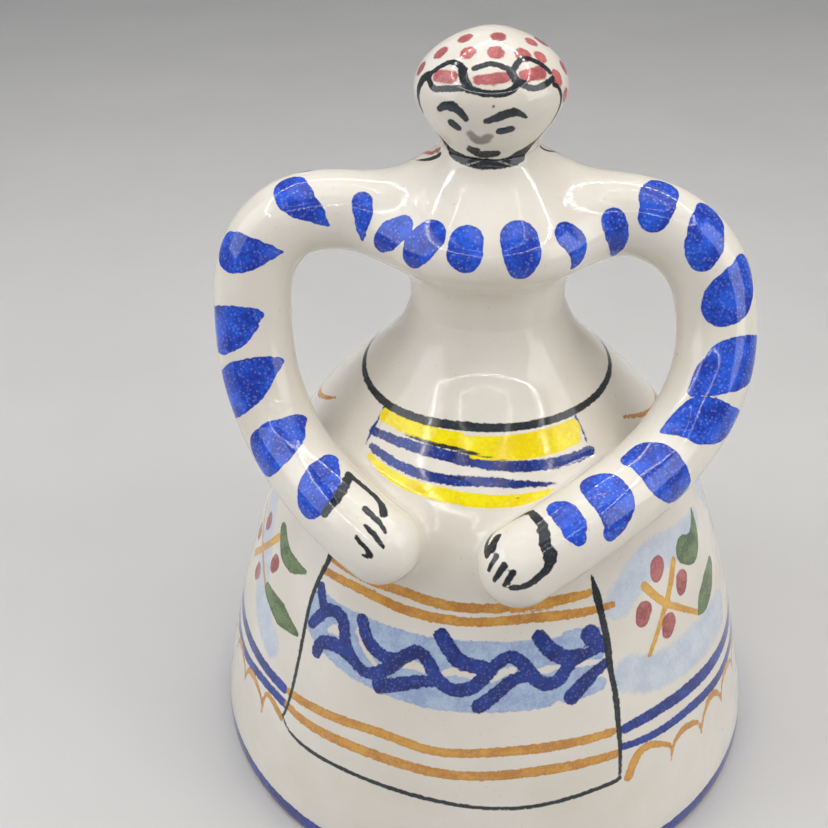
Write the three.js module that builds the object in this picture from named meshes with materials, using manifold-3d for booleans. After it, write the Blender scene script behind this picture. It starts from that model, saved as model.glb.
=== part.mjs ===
import * as THREE from 'three';
import * as BufferGeometryUtils from 'three/addons/utils/BufferGeometryUtils.js';
import Module from 'manifold-3d';

// Millimetres, Z up, the bell stands on z = 0 and the figure faces -Y.
const wasm = await Module();
wasm.setup();
const { Manifold, Mesh } = wasm;

// ---- driving dimensions ----
const lutingGap = 0.3;          // left between clay pieces that are stuck together
const roundSteps = 60;          // facets round the thrown pieces
const crownTop = 74.5;          // top of the skirt, where the bust sits
const neckTop = 97.4;           // top of the bust's neck, where the head sits
const armRadius = 5.35;         // half the thickness of the rolled arm
const bustHollowRadius = 5.2;   // hole pushed up inside the bust

// outside of the skirt: height, radius
const skirtOutside = [
  [1.2, 43.9], [4, 43.7], [10, 42.5], [17, 41.0], [24, 39.3], [32, 37.0], [40, 34.3],
  [48, 31.0], [55, 26.7], [61, 21.2], [66, 16.4], [70, 12.9], [crownTop, 10.9],
];
// inside of the skirt, from the mouth to the ceiling
const skirtInside = [
  [0.8, 39.6], [4, 39.5], [10, 38.4], [17, 37.0], [24, 35.2], [32, 32.9], [40, 30.1],
  [48, 26.6], [54, 22.6], [59.5, 17.6], [64, 13.2], [67.5, 9.8], [69.6, 6.8], [70.5, 3.4],
];
const ceiling = 70.8;

const bustOutside = [
  [78, 11.0], [80.5, 11.8], [82.3, 13.6], [83.8, 15.4], [85.3, 16.5], [87, 16.7], [88.8, 16.0],
  [90.9, 14.1], [93, 11.6], [95, 9.1], [96.3, 7.3], [neckTop, 6.6],
];
const headOutside = [
  [98.6, 6.8], [100, 7.7], [102, 9.0], [104.5, 9.9], [106.5, 9.7], [108.5, 8.5],
  [110.4, 6.2], [111.6, 3.8], [112.2, 1.9],
];
const headTop = 112.4;

// middle line of each arm, from inside the bust to the hand
const rightArmLine = [
  [-10, -3.5, 87.6], [-18, -5, 88.6], [-25.5, -7.6, 88], [-30, -10, 83], [-30.9, -12, 75],
  [-29.5, -14.8, 67], [-25.2, -18.9, 59.8], [-17.8, -26, 57], [-11, -30.7, 54.7],
  [-8.2, -31.9, 53.6],
];
const leftArmLine = [
  [10, 0.5, 87.8], [17, 1.1, 88.4], [24, 1.2, 86.8], [29.5, 0.5, 81.8], [31.9, -2.5, 73.8],
  [31.3, -7, 67.2], [27.6, -12.8, 60.9], [22.4, -20.4, 58.4], [16.7, -27.1, 56.5],
  [11.8, -30.9, 54], [10.2, -31.9, 53.1],
];

// clapper hanging gear, all on the bell's middle line
const lugBarRadius = 1.7;
const lugHalfSpan = 3.6;        // middle of the lug's clay to the middle line
const lugBarHeight = 64.5;      // middle of the lowest part of the lug
const ringWireRadius = 0.6;
const ringRadius = 3.8;         // middle of the wire
const hangClearance = 0.15;
const ringHeight = lugBarHeight + lugBarRadius + ringWireRadius + hangClearance - ringRadius;
const ringBottom = ringHeight - ringRadius;
const rodRadius = 0.8;
const eyeRadius = 2.2;
const eyeHeight = ringBottom + ringWireRadius + rodRadius + 0.2 - eyeRadius;
const ballRadius = 7.0;
const ballHeight = 17.0;
const boreRadius = 0.9;
const curlRadius = 1.7;
const curlHeight = 7.2;

// ---- helpers ----
function material(colour, roughness, metalness) {
  return new THREE.MeshStandardMaterial({ color: colour, roughness, metalness });
}

// a turned solid from (height, radius) pairs; the outline must close or meet the axis
function turned(outline, steps) {
  const points = outline.map(([height, radius]) => new THREE.Vector2(radius, height));
  const geometry = new THREE.LatheGeometry(points, steps);
  geometry.rotateX(Math.PI / 2);
  return weld(geometry);
}

// merges shared corners and drops triangles that have no area
function weld(geometry) {
  const bare = geometry.clone();
  bare.deleteAttribute('uv');
  bare.deleteAttribute('normal');
  const merged = BufferGeometryUtils.mergeVertices(bare, 1e-4);
  const index = merged.index.array;
  const kept = [];
  for (let i = 0; i < index.length; i += 3) {
    const [a, b, c] = [index[i], index[i + 1], index[i + 2]];
    if (a !== b && b !== c && c !== a) kept.push(a, b, c);
  }
  merged.setIndex(kept);
  return facingOut(merged);
}

// turns every triangle over if the body is inside out
function facingOut(geometry) {
  const p = geometry.attributes.position;
  const index = geometry.index.array;
  const [a, b, c] = [new THREE.Vector3(), new THREE.Vector3(), new THREE.Vector3()];
  let volume = 0;
  for (let i = 0; i < index.length; i += 3) {
    a.fromBufferAttribute(p, index[i]);
    b.fromBufferAttribute(p, index[i + 1]);
    c.fromBufferAttribute(p, index[i + 2]);
    volume += a.dot(b.cross(c));
  }
  if (volume < 0) {
    const turnedOver = [];
    for (let i = 0; i < index.length; i += 3) turnedOver.push(index[i], index[i + 2], index[i + 1]);
    geometry.setIndex(turnedOver);
  }
  return geometry;
}

function solid(geometry) {
  return new Manifold(new Mesh({
    numProp: 3,
    vertProperties: new Float32Array(geometry.attributes.position.array),
    triVerts: new Uint32Array(geometry.index.array),
  }));
}

function geometryOf(body) {
  const mesh = body.getMesh();
  const geometry = new THREE.BufferGeometry();
  geometry.setAttribute('position', new THREE.BufferAttribute(new Float32Array(mesh.vertProperties), 3));
  geometry.setIndex(new THREE.BufferAttribute(new Uint32Array(mesh.triVerts), 1));
  return geometry;
}

// the same outline pushed outwards, used to trim what is stuck on to it
function grown(outline, by) {
  return outline.map(([height, radius]) => [height, radius + by]);
}

function place(geometry, x, y, z) {
  geometry.translate(x, y, z);
  return weld(geometry);
}

function ball(radius, x, y, z, across, up) {
  return place(new THREE.SphereGeometry(radius, across, up), x, y, z);
}

// a round rod along a curve
function coil(points, radius, around, along) {
  const line = new THREE.CatmullRomCurve3(points.map((q) => new THREE.Vector3(...q)), false, 'centripetal');
  const circle = new THREE.Shape();
  for (let i = 0; i < around; i += 1) {
    const angle = (2 * Math.PI * i) / around;
    const [x, y] = [radius * Math.cos(angle), radius * Math.sin(angle)];
    if (i === 0) circle.moveTo(x, y); else circle.lineTo(x, y);
  }
  circle.closePath();
  return weld(new THREE.ExtrudeGeometry(circle, { steps: along, bevelEnabled: false, extrudePath: line }));
}

// ---- the thrown pieces ----
function skirtGeometry() {
  const foot = [[0, 40.2], [0, 43.2]];
  const crown = [[crownTop, 0]];
  const inside = [...skirtInside].reverse();
  return turned([[ceiling, 0], ...inside, ...foot, ...skirtOutside, ...crown], roundSteps);
}

function bustGeometry() {
  const base = crownTop + lutingGap;
  const hollow = [[base, bustHollowRadius], [86, bustHollowRadius], [89.5, 3.9], [91, 0]];
  return turned([...hollow.reverse(), [base, 10.8], ...bustOutside, [neckTop, 0]], roundSteps);
}

function headGeometry() {
  const base = neckTop + lutingGap;
  return turned([[base, 0], [base, 6.3], ...headOutside, [headTop, 0]], 44);
}

// the whole outside of skirt and bust as plugs, a little oversize, to trim the arms with
function bodyPlug() {
  const skirt = [[-2, 0], [-2, 44], ...grown(skirtOutside, lutingGap + 0.05), [crownTop + 0.4, 0]];
  const bust = [[crownTop, 0], [crownTop, 11.2], ...grown(bustOutside, lutingGap + 0.05), [neckTop, 0]];
  return solid(turned(skirt, roundSteps)).add(solid(turned(bust, roundSteps)));
}

// a rolled coil of clay with a rounded mitten end, pressed against bust and skirt
function armGeometry(points, plug) {
  const hand = points[points.length - 1];
  const roll = solid(coil(points, armRadius, 16, 36));
  const end = solid(ball(armRadius * 1.01, ...hand, 16, 10));
  return geometryOf(roll.add(end).subtract(plug));
}

// ---- the clapper and what it hangs from ----
function lugGeometry() {
  const line = [];
  line.push([-lugHalfSpan, 0, ceiling + 1]);
  for (let i = 0; i <= 12; i += 1) {
    const angle = Math.PI + (Math.PI * i) / 12;
    line.push([lugHalfSpan * Math.cos(angle), 0, lugBarHeight + lugHalfSpan + lugHalfSpan * Math.sin(angle)]);
  }
  line.push([lugHalfSpan, 0, ceiling + 1]);
  const loop = solid(coil(line, lugBarRadius, 12, 26));
  const above = [...skirtInside].reverse().filter(([height]) => height > 55)
    .map(([height, radius]) => [height - lutingGap, Math.max(radius - lutingGap, 0.1)]);
  const hollow = [[ceiling - lutingGap, 0], ...above, [50, 24], [50, 0]];
  return geometryOf(loop.intersect(solid(turned(hollow, roundSteps))));
}

function ringGeometry() {
  const geometry = new THREE.TorusGeometry(ringRadius, ringWireRadius, 10, 30);
  geometry.rotateY(Math.PI / 2);
  return place(geometry, 0, 0, ringHeight);
}

// the loops of the clapper wire stand in the XZ plane, so they open along Y
function wireLoop(radius, height) {
  const geometry = new THREE.TorusGeometry(radius, rodRadius, 10, 22);
  geometry.rotateX(Math.PI / 2);
  return solid(place(geometry, 0, 0, height));
}

function rodGeometry() {
  const top = eyeHeight - eyeRadius;
  const bottom = curlHeight + curlRadius;
  const shank = new THREE.CylinderGeometry(rodRadius, rodRadius, top - bottom, 20);
  shank.rotateX(Math.PI / 2);
  const body = solid(place(shank, 0, 0, (top + bottom) / 2));
  return geometryOf(body.add(wireLoop(eyeRadius, eyeHeight)).add(wireLoop(curlRadius, curlHeight)));
}

function ballGeometry() {
  const bead = solid(ball(ballRadius, 0, 0, ballHeight, 28, 14));
  const drill = new THREE.CylinderGeometry(boreRadius, boreRadius, 3 * ballRadius, 20);
  drill.rotateX(Math.PI / 2);
  return geometryOf(bead.subtract(solid(place(drill, 0, 0, ballHeight))));
}

// ---- assembly ----
const glaze = material(0xe4ddd2, 0.15, 0);
const bareClay = material(0xd8c3a4, 0.8, 0);
const wire = material(0x9a9a96, 0.35, 1);
const group = new THREE.Group();
group.name = 'lady_bell';

function addPiece(name, geometry, look) {
  geometry.computeVertexNormals();
  const mesh = new THREE.Mesh(geometry, look);
  mesh.name = name;
  group.add(mesh);
}

const plug = bodyPlug();
addPiece('skirt_bell', skirtGeometry(), glaze);
addPiece('bust', bustGeometry(), glaze);
addPiece('head', headGeometry(), glaze);
addPiece('right_arm', armGeometry(rightArmLine, plug), glaze);
addPiece('left_arm', armGeometry(leftArmLine, plug), glaze);
addPiece('clapper_lug', lugGeometry(), bareClay);
addPiece('hanger_ring', ringGeometry(), wire);
addPiece('clapper_wire', rodGeometry(), wire);
addPiece('clapper_ball', ballGeometry(), glaze);

export default group;
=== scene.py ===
import math

import bpy
import numpy as np
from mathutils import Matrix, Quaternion, Vector


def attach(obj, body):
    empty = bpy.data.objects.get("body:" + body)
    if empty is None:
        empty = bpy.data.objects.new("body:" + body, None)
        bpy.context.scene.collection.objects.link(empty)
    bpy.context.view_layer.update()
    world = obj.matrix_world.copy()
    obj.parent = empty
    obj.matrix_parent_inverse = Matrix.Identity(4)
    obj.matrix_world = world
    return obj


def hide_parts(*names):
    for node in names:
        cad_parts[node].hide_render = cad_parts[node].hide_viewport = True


# A hand bell of glazed white clay: a lady with a wide skirt, her hands on her apron.
# Lengths are millimetres until a mesh is made. She faces -Y, and her left arm is on +X.
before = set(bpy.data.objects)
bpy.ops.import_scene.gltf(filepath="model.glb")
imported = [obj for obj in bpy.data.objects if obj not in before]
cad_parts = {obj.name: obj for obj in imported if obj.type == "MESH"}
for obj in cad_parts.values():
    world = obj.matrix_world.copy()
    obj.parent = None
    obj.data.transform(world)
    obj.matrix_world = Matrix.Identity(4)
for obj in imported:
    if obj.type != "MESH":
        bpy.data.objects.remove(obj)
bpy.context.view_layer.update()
metre = 0.001
rng = np.random.default_rng(7)


def smoothLine(points, count):
    # natural cubic through the points, with the root of each chord as its parameter
    points = np.asarray(points, float)
    knots = np.concatenate([[0], np.cumsum(np.linalg.norm(np.diff(points, axis=0), axis=1) ** 0.5)])
    at = np.linspace(0, knots[-1], count)
    return splineAt(knots, points, at)


def splineAt(knots, values, at):
    # second derivatives from the three-row spline system, then the cubic in each span
    gaps = np.diff(knots)[:, None]
    size = len(knots)
    system = np.eye(size)
    right = np.zeros_like(values)
    for i in range(1, size - 1):
        system[i, i - 1:i + 2] = gaps[i - 1, 0], 2 * (gaps[i - 1, 0] + gaps[i, 0]), gaps[i, 0]
    if size > 2:
        slopes = np.diff(values, axis=0) / gaps
        right[1:-1] = 6 * (slopes[1:] - slopes[:-1])
    bend = np.linalg.solve(system, right)
    span = np.clip(np.searchsorted(knots, at) - 1, 0, size - 2)
    gap = gaps[span]
    after = (at[:, None] - knots[span][:, None]) / gap
    before = 1 - after
    cubic = (before ** 3 - before) * bend[span] + (after ** 3 - after) * bend[span + 1]
    return before * values[span] + after * values[span + 1] + cubic * gap ** 2 / 6


def evenLine(points, step):
    # the smooth line again, with its points a fixed step apart along it
    dense = smoothLine(points, 900)
    run = np.concatenate([[0], np.cumsum(np.linalg.norm(np.diff(dense, axis=0), axis=1))])
    at = np.linspace(0, run[-1], max(3, int(round(run[-1] / step)) + 1))
    return np.stack([np.interp(at, run, dense[:, i]) for i in range(dense.shape[1])], 1), at


def turn(outline, angles):
    # rings round Z: x = r sin(angle), y = -r cos(angle), z = height; angle 0 is the front
    height, radius = outline[:, 0, None], outline[:, 1, None]
    return np.stack([radius * np.sin(angles), -radius * np.cos(angles), height + 0 * angles], -1)


def unit(vectors):
    return vectors / np.maximum(np.linalg.norm(vectors, axis=-1, keepdims=True), 1e-9)


def closedMesh(rings, startPoint=None, endPoint=None, joined=False):
    # quads between rings of equal count; the ends fan to a point, or the last ring joins the first
    rows, columns = rings.shape[:2]
    points = rings.reshape(-1, 3)
    row = np.arange(rows if joined else rows - 1)[:, None] * columns
    column = np.arange(columns)[None]
    following = (column + 1) % columns
    above = (row + columns) % (rows * columns)
    quads = np.stack([row + column, row + following, above + following, above + column], -1).reshape(-1, 4)
    faces = [quads]
    if not joined:
        tops = (rows - 1) * columns
        fans = [(startPoint, following[0], column[0]), (endPoint, tops + column[0], tops + following[0])]
        for centre, first, second in fans:
            index = np.full(columns, len(points))
            points = np.vstack([points, np.asarray(centre, float)[None]])
            faces.append(np.stack([index, first, second], -1))
    return points, faces


def makeObject(name, points, faces, normals=None):
    mesh = bpy.data.meshes.new(name)
    loops = np.concatenate([part.ravel() for part in faces])
    sizes = np.concatenate([np.full(len(part), part.shape[1]) for part in faces])
    mesh.vertices.add(len(points))
    mesh.vertices.foreach_set("co", (points * metre).astype(np.float32).ravel())
    mesh.loops.add(len(loops))
    mesh.loops.foreach_set("vertex_index", loops.astype(np.int32))
    mesh.polygons.add(len(sizes))
    mesh.polygons.foreach_set("loop_start", np.concatenate([[0], np.cumsum(sizes)[:-1]]).astype(np.int32))
    mesh.update(calc_edges=True)
    mesh.validate()
    mesh.shade_smooth()
    if normals is not None:
        mesh.normals_split_custom_set_from_vertices(normals)
    piece = bpy.data.objects.new(name, mesh)
    bpy.context.scene.collection.objects.link(piece)
    return piece


# The outlines of the thrown pieces are pairs of height and radius, and an arm's are places in space.
skirtLook = dict(
    outside=[
        (1.2, 43.9), (4, 43.7), (10, 42.5), (17, 41.0), (24, 39.3), (32, 37.0), (40, 34.3),
        (48, 31.0), (55, 26.7), (61, 21.2), (66, 16.4), (70, 12.9), (74.65, 10.85),
    ],
    inside=[
        (0.8, 39.6), (4, 39.5), (10, 38.4), (17, 37.0), (24, 35.2), (32, 32.9), (40, 30.1), (48, 26.6),
        (54, 22.6), (59.5, 17.6), (64, 13.2), (67.5, 9.8), (69.6, 6.8), (70.5, 3.4),
    ],
    footInner=40.2, footOuter=43.2, ceiling=70.8,
    frontSpread=105, frontStep=0.55, backStep=1.15,
    throwingRing=0.13, ringPitch=3.1, swirl=0.5, swirlClimb=0.13, ringsEnd=68, ringsFade=10,
    wobble=0.12, wobbleTurn=0.6, thirdLobe=0.6, lobeClimb=0.09, wobbleEnd=66, wobbleFade=12, footFade=6,
    innerRows=30, outerRows=152, paintedZones=((13.5, 26), (30, 46.5), (56, 65)), zoneGain=0.75,
)
bustLook = dict(
    outside=[
        (74.65, 10.85), (78, 11.0), (80.5, 11.8), (82.3, 13.6), (83.8, 15.4), (85.3, 16.5), (87, 16.7),
        (88.8, 16.0), (90.9, 14.1), (93, 11.6), (95, 9.1), (96.3, 7.3), (97.55, 6.45),
    ],
    hollow=[(86, 5.2), (80, 5.2), (74.65, 5.2)],
    hollowTop=91.0, columns=320, rows=128, paintedZones=((83, 92), (95.5, 97.6)), zoneGain=0.6,
)
headLook = dict(
    outside=[
        (97.55, 6.45), (98.6, 6.8), (100, 7.7), (102, 9.0), (104.5, 9.9), (106.5, 9.7), (108.5, 8.5),
        (110.4, 6.2), (111.6, 3.8), (112.2, 1.9),
    ],
    top=112.4, columns=360, rows=118,
)
armLook = dict(
    radius=5.35, around=100, capRows=25, step=0.35, loopCentre=(14, -12, 72),
    right=[
        (-10, -3.5, 87.6), (-18, -5, 88.6), (-25.5, -7.6, 88), (-30, -10, 83), (-30.9, -12, 75),
        (-29.5, -14.8, 67), (-25.2, -18.9, 59.8), (-17.8, -26, 57), (-11, -30.7, 54.7), (-8.2, -31.9, 53.6),
    ],
    left=[
        (10, 0.5, 87.8), (17, 1.1, 88.4), (24, 1.2, 86.8), (29.5, 0.5, 81.8), (31.9, -2.5, 73.8),
        (31.3, -7, 67.2), (27.6, -12.8, 60.9), (22.4, -20.4, 58.4), (16.7, -27.1, 56.5),
        (11.8, -30.9, 54), (10.2, -31.9, 53.1),
    ],
)
# how widely the clay is smoothed at shoulder and hand, the height that divides the two, how far
# from a piece the smoothing starts, and how often each point's rise is halved
jointLook = dict(shoulder=4.6, hand=3.6, between=68, reach=5.1, overlap=0.6, dive=0.3, skin=0.4, box=11,
                 halvings=10, settling=5)
seamLook = dict(reach=0.6, innermost=10)


skirtCurve = smoothLine(skirtLook["outside"], 240)
bustCurve = smoothLine(bustLook["outside"], 160)
headCurve = smoothLine(headLook["outside"], 110)
bodyCurve = np.vstack([skirtCurve[:-1:3], bustCurve[:-1:2], headCurve[::2]])


def bodyDistance(points):
    # nearest place on the outline in (height, radius); positive outside
    radius = np.hypot(points[:, 0], points[:, 1])
    flat = np.stack([points[:, 2], radius], 1)
    start, along = bodyCurve[:-1], np.diff(bodyCurve, axis=0)
    share = np.clip(np.einsum("nsk,sk->ns", flat[:, None] - start, along) / (along ** 2).sum(1), 0, 1)
    away = flat[:, None] - (start + share[..., None] * along)
    length = np.linalg.norm(away, axis=2)
    best = length.argmin(1)
    pick = np.arange(len(points))
    line = along[best]
    offset = away[pick, best]
    side = np.sign(line[:, 0] * (flat[:, 1] - start[best, 1]) - line[:, 1] * (flat[:, 0] - start[best, 0]))
    outward = unit(np.stack([-line[:, 1], line[:, 0]], 1))
    slope = np.where(length[pick, best, None] > 0.02, unit(offset) * side[:, None], outward)
    across = points[:, :2] / np.maximum(radius, 1e-6)[:, None]
    return length[pick, best] * side, np.column_stack([across * slope[:, 1:], slope[:, 0]])


def armDistance(points, line):
    # distance to the arm's middle line less the arm's radius
    start, along = line[:-1], np.diff(line, axis=0)
    share = np.clip(np.einsum("nsk,sk->ns", points[:, None] - start, along) / (along ** 2).sum(1), 0, 1)
    away = points[:, None] - (start + share[..., None] * along)
    length = np.linalg.norm(away, axis=2)
    best = length.argmin(1)
    pick = np.arange(len(points))
    return length[pick, best] - armLook["radius"], unit(away[pick, best])


def smoothUnion(points, line):
    # share = 0.5 + (arm - body) / (2 width), kept in 0 to 1; gap = the mix of both by share,
    # less width * share * (1 - share); also how much further the body is than the arm
    bodyGap, bodySlope = bodyDistance(points)
    armGap, armSlope = armDistance(points, line)
    width = np.where(points[:, 2] > jointLook["between"], jointLook["shoulder"], jointLook["hand"])
    share = np.clip(0.5 + 0.5 * (armGap - bodyGap) / width, 0, 1)
    gap = armGap + (bodyGap - armGap) * share - width * share * (1 - share)
    slope = armSlope + (bodySlope - armSlope) * share[:, None]
    return gap, slope, bodyGap - armGap


def blendJoint(points, line, onArm):
    # each point near the other piece rises along its own normal to the rounded surface,
    # but no further than a little past the middle between the two pieces, where it dives under
    normals = np.zeros_like(points)
    reach, overlap = jointLook["reach"], jointLook["overlap"]
    low, high = line.min(0) - jointLook["box"], line.max(0) + jointLook["box"]
    near = np.where(((points > low) & (points < high)).all(1))[0]
    gap, slope = bodyDistance(points[near])
    keep = np.abs(gap) < (reach if onArm else jointLook["skin"])
    near, slope = near[keep], slope[keep]
    gap, armSlope = armDistance(points[near], line)
    keep = gap < reach
    near, own = near[keep], (armSlope if onArm else slope)[keep]
    way = -1 if onArm else 1
    rest = points[near]
    under, over = np.zeros(len(near)), np.full(len(near), jointLook["shoulder"])
    for _ in range(jointLook["halvings"]):
        middle = (under + over) / 2
        gap, _slope, nearer = smoothUnion(rest + middle[:, None] * own, line)
        beyond = (gap > 0) | (way * nearer > overlap)
        over = np.where(beyond, middle, over)
        under = np.where(beyond, under, middle)
    final = rest + under[:, None] * own
    gap, slope, nearer = smoothUnion(final, line)
    final -= own * (jointLook["dive"] * np.clip(way * nearer, 0, overlap) * (under > 0))[:, None]
    points = points.copy()
    points[near] = final
    onTop = gap > -0.1
    normals[near[onTop]] = unit(slope[onTop])
    return points, normals


def seamNormals(points, normals, height):
    # where two thrown pieces meet, both take the normal of the one smooth outline
    beside = np.abs(points[:, 2] - height) < seamLook["reach"]
    near = beside & (np.hypot(points[:, 0], points[:, 1]) > seamLook["innermost"])
    normals[near] = unit(bodyDistance(points[near])[1])
    return normals


def settle(points, line):
    # each step goes down the slope by the gap left, until the point lies on the rounded surface
    for _ in range(jointLook["settling"]):
        gap, slope, _nearer = smoothUnion(points, line)
        points = points - gap[:, None] * slope / np.maximum((slope ** 2).sum(1), 0.2)[:, None]
    return points


def armFrame(line, side):
    # along the line, away from the middle of the arm's loop, and the third direction
    centre = np.array(armLook["loopCentre"]) * (side, 1, 1)
    along = unit(np.gradient(line, axis=0))
    outward = line - centre
    outward = unit(outward - along * (outward * along).sum(1, keepdims=True))
    return along, outward, np.cross(along, outward)


class Arm:
    def __init__(self, points, side):
        self.line, self.run = evenLine(points, armLook["step"])
        self.along, self.outward, self.third = armFrame(self.line, side)

    def rings(self):
        # round sections along the line, with half a ball at each end
        turns = np.linspace(0, 2 * np.pi, armLook["around"], endpoint=False)
        cap = np.linspace(0, np.pi / 2, armLook["capRows"])[1:-1]
        index = np.concatenate([np.zeros(len(cap), int), np.arange(len(self.line)),
                                np.full(len(cap), len(self.line) - 1)])
        lean = np.concatenate([-cap[::-1], np.zeros(len(self.line)), cap])
        radius = armLook["radius"] * np.cos(lean)
        centre = self.line[index] + self.along[index] * (armLook["radius"] * np.sin(lean))[:, None]
        spoke = (np.cos(turns)[None, :, None] * self.outward[index][:, None]
                 + np.sin(turns)[None, :, None] * self.third[index][:, None])
        tips = [self.line[k] + self.along[k] * armLook["radius"] * way for k, way in ((0, -1), (-1, 1))]
        return centre[:, None] + spoke * radius[:, None, None], tips

    def on(self, spots):
        # (distance along the arm, turn in degrees) to a point on its surface
        far = spots[:, 0] - self.run[-1]
        pick = np.clip(np.round(spots[:, 0] / armLook["step"]).astype(int), 0, len(self.line) - 1)
        lean = np.clip(far / armLook["radius"], 0, 1.5)
        turned = np.radians(spots[:, 1])[:, None]
        spoke = np.cos(turned) * self.outward[pick] + np.sin(turned) * self.third[pick]
        place = self.line[pick] + armLook["radius"] * (
            spoke * np.cos(lean)[:, None] + self.along[pick] * np.sin(lean)[:, None])
        return settle(place, self.line)


arms = {"right_arm": Arm(armLook["right"], -1), "left_arm": Arm(armLook["left"], 1)}


# how a stroke is cut up, how far it can reach, and how deep into the wall it counts
brushLook = dict(step=0.4, fewest=3, most=700, chunk=14, margin=1.2, far=9.0, deepest=6, soak=1.8)


def onTurned(outline):
    # (degrees round from the front, height) to a point on a thrown piece
    dense = smoothLine(outline, 400)

    def place(spots):
        radius = np.interp(spots[:, 1], dense[:, 0], dense[:, 1])
        angle = np.radians(spots[:, 0])
        return np.column_stack([radius * np.sin(angle), -radius * np.cos(angle), spots[:, 1]])
    return place


def inSpace(spots):
    # the spots as they are, already places in space
    return spots


onSkirt = onTurned(skirtLook["outside"])
onBust = onTurned(bustLook["outside"])
onNeck = onTurned(bustLook["outside"] + headLook["outside"][1:])
onHead = onTurned(headLook["outside"] + [(headLook["top"], 0.1)])
strokes = []


def brush(colour, surface, spots, width, pieces, lift=False):
    # one touch of the brush: a smooth line on the clay, with its width in mm along the way
    spots = np.asarray(spots, float)
    if len(spots) == 1:
        spots = np.vstack([spots, spots + (0.01, 0.01)])
    widths = np.atleast_1d(np.asarray(width, float))
    rough = surface(spots)
    length = np.linalg.norm(np.diff(rough, axis=0), axis=1).sum()
    count = int(np.clip(length / brushLook["step"], brushLook["fewest"], brushLook["most"]))
    line = surface(smoothLine(spots, count))
    half = np.interp(np.linspace(0, 1, count), np.linspace(0, 1, len(widths)), widths) / 2
    strokes.append(dict(colour=colour, line=line, half=half, pieces=pieces, lift=lift))


def strokeGap(points, line, half):
    # distance to the line less the half width there, least over its segments
    start, along = line[:-1], np.diff(line, axis=0)
    square = np.maximum((along ** 2).sum(1), 1e-12)
    share = np.clip(np.einsum("nsk,sk->ns", points[:, None] - start, along) / square, 0, 1)
    away = np.linalg.norm(points[:, None] - (start + share[..., None] * along), axis=2)
    return (away - (half[:-1] + share * np.diff(half))).min(1)


def paintDepth(piece, points):
    # for each colour, how far inside its paint a point lies, plus 1 mm, from 0 to 6
    gaps = {}
    lifted = {}
    for stroke in strokes:
        if piece not in stroke["pieces"]:
            continue
        store = lifted if stroke["lift"] else gaps
        gap = store.setdefault(stroke["colour"], np.full(len(points), brushLook["far"]))
        line, half = stroke["line"], stroke["half"]
        chunk = brushLook["chunk"]
        for start in range(0, len(line) - 1, chunk):
            part, width = line[start:start + chunk + 1], half[start:start + chunk + 1]
            margin = width.max() + brushLook["margin"]
            near = np.where(((points > part.min(0) - margin) & (points < part.max(0) + margin)).all(1))[0]
            if len(near):
                gap[near] = np.minimum(gap[near], strokeGap(points[near], part, width))
    for colour, gap in lifted.items():
        gaps[colour] = np.maximum(gaps[colour], -gap)
    return {colour: np.clip(1 - gap, 0, brushLook["deepest"]) for colour, gap in gaps.items()}


def wearPaint(piece, nodeName, points):
    # nothing soaks through the wall: the paint stays on the outer skin of the clay
    outside = np.interp(points[:, 2], bodyCurve[:, 0], bodyCurve[:, 1], right=0)
    onSkin = np.hypot(points[:, 0], points[:, 1]) > outside - brushLook["soak"]
    for colour, depth in paintDepth(nodeName, points).items():
        attribute = piece.data.attributes.new(colour, "FLOAT", "POINT")
        attribute.data.foreach_set("value", (depth * onSkin).astype(np.float32))


print("painting the skirt")
skirt = ("skirt_bell",)


def band(colour, spots, width, lift=False):
    # one stroke on the skirt, its spots given as (degrees round from the front, height)
    brush(colour, onSkirt, spots, width, skirt, lift)


def ringRound(colour, heights, width):
    # a line drawn right round the skirt, its height given at even steps from the front
    spots = [(angle, height) for angle, height in zip(np.linspace(0, 360, len(heights)), heights)]
    band(colour, spots, width)


# waist ring and the bodice panel
ringRound("ink", [64.3, 64.2, 64.3, 64.5, 64.4, 64.2, 64.3, 64.5, 64.3, 64.0, 64.3],
          (1.3, 1.0, 0.8, 0.9, 0.8, 1.0, 1.3))
band("sun", [(-36, 63.0), (-20, 63.0), (0, 62.8)], (2.2, 2.3, 2.3))
band("sun", [(3, 62.6), (25, 62.7), (48, 62.8)], 2.2)
band("sun", [(6, 61.7), (30, 61.5), (47, 61.7)], 1.6)
band("ink", [(-30, 62.25), (-12, 62.1), (0, 61.9), (18, 61.0)], (0.25, 0.55, 0.6, 0.2))
band("denim", [(-38, 61.0), (-20, 61.3), (0, 61.1), (20, 60.4), (40, 60.0), (50, 60.0)],
     (1.2, 1.6, 1.6, 1.5))
band("denim", [(-34, 59.6), (-20, 59.1), (0, 58.9), (10, 59.0), (20, 58.7), (38, 57.9)],
     (1.1, 1.4, 1.4, 1.3, 0.2))
band("ink", [(-2, 59.1), (3, 59.15)], 0.4)
band("sun", [(-33, 58.7), (-20, 57.8), (-10, 57.5), (0, 57.3), (10, 57.1), (22, 57.1), (32, 57.4)],
     (0.8, 1.6, 1.9, 1.9, 1.7, 1.0))
band("ink", [(19, 57.3), (22, 57.3)], (0.1, 0.25, 0.1))
band("dusk", [(-39, 63.9), (-38.5, 62.5), (-38, 61), (-37, 59.4)], (0.5, 0.4, 0.5, 0.25))
band("dusk", [(51, 63.8), (51, 62), (50.5, 61)], (0.4, 0.3))

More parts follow.
